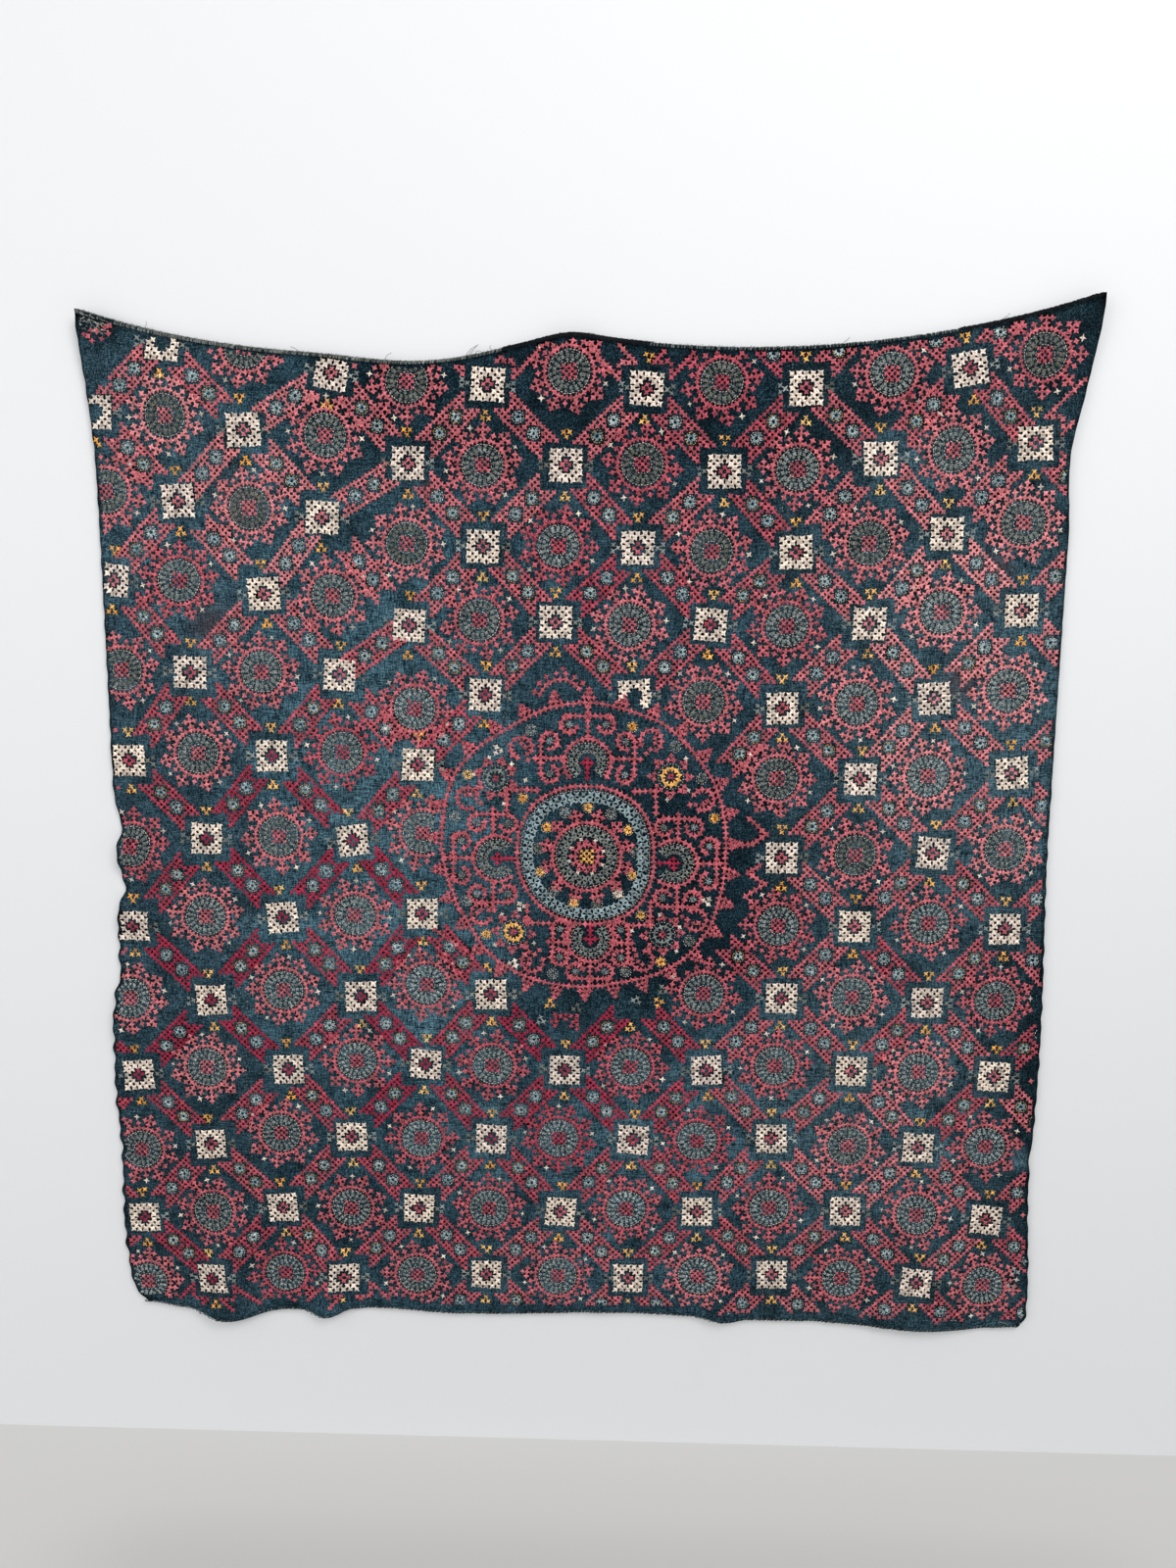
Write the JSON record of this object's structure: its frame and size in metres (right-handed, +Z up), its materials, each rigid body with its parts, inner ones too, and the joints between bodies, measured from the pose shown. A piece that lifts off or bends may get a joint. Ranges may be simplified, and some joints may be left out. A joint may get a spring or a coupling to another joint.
{
  "type": "embroidered panel",
  "caption": "Square indigo cotton hanging of sewn loom widths with rolled hems, held at its top edge and embroidered with a lattice of rosettes round a central medallion.",
  "frame": {"origin": "middle holding point on the top edge", "axes": "+X across the cloth to the viewer's right, +Y behind the cloth, +Z up"},
  "size_m": [1.555, 0.0197, 1.6887],
  "materials": {
    "indigo_cotton": "faded plain weave",
    "red_thread": "matt cotton thread",
    "cream_thread": "matt cotton thread",
    "grey_thread": "matt cotton thread",
    "blue_thread": "matt cotton thread",
    "yellow_thread": "matt cotton thread",
    "dark_thread": "matt cotton thread"
  },
  "bodies": {
    "root": {"width_1": "indigo_cotton", "width_2": "indigo_cotton", "width_3": "indigo_cotton", "width_4": "indigo_cotton"}
  },
  "joints": []
}
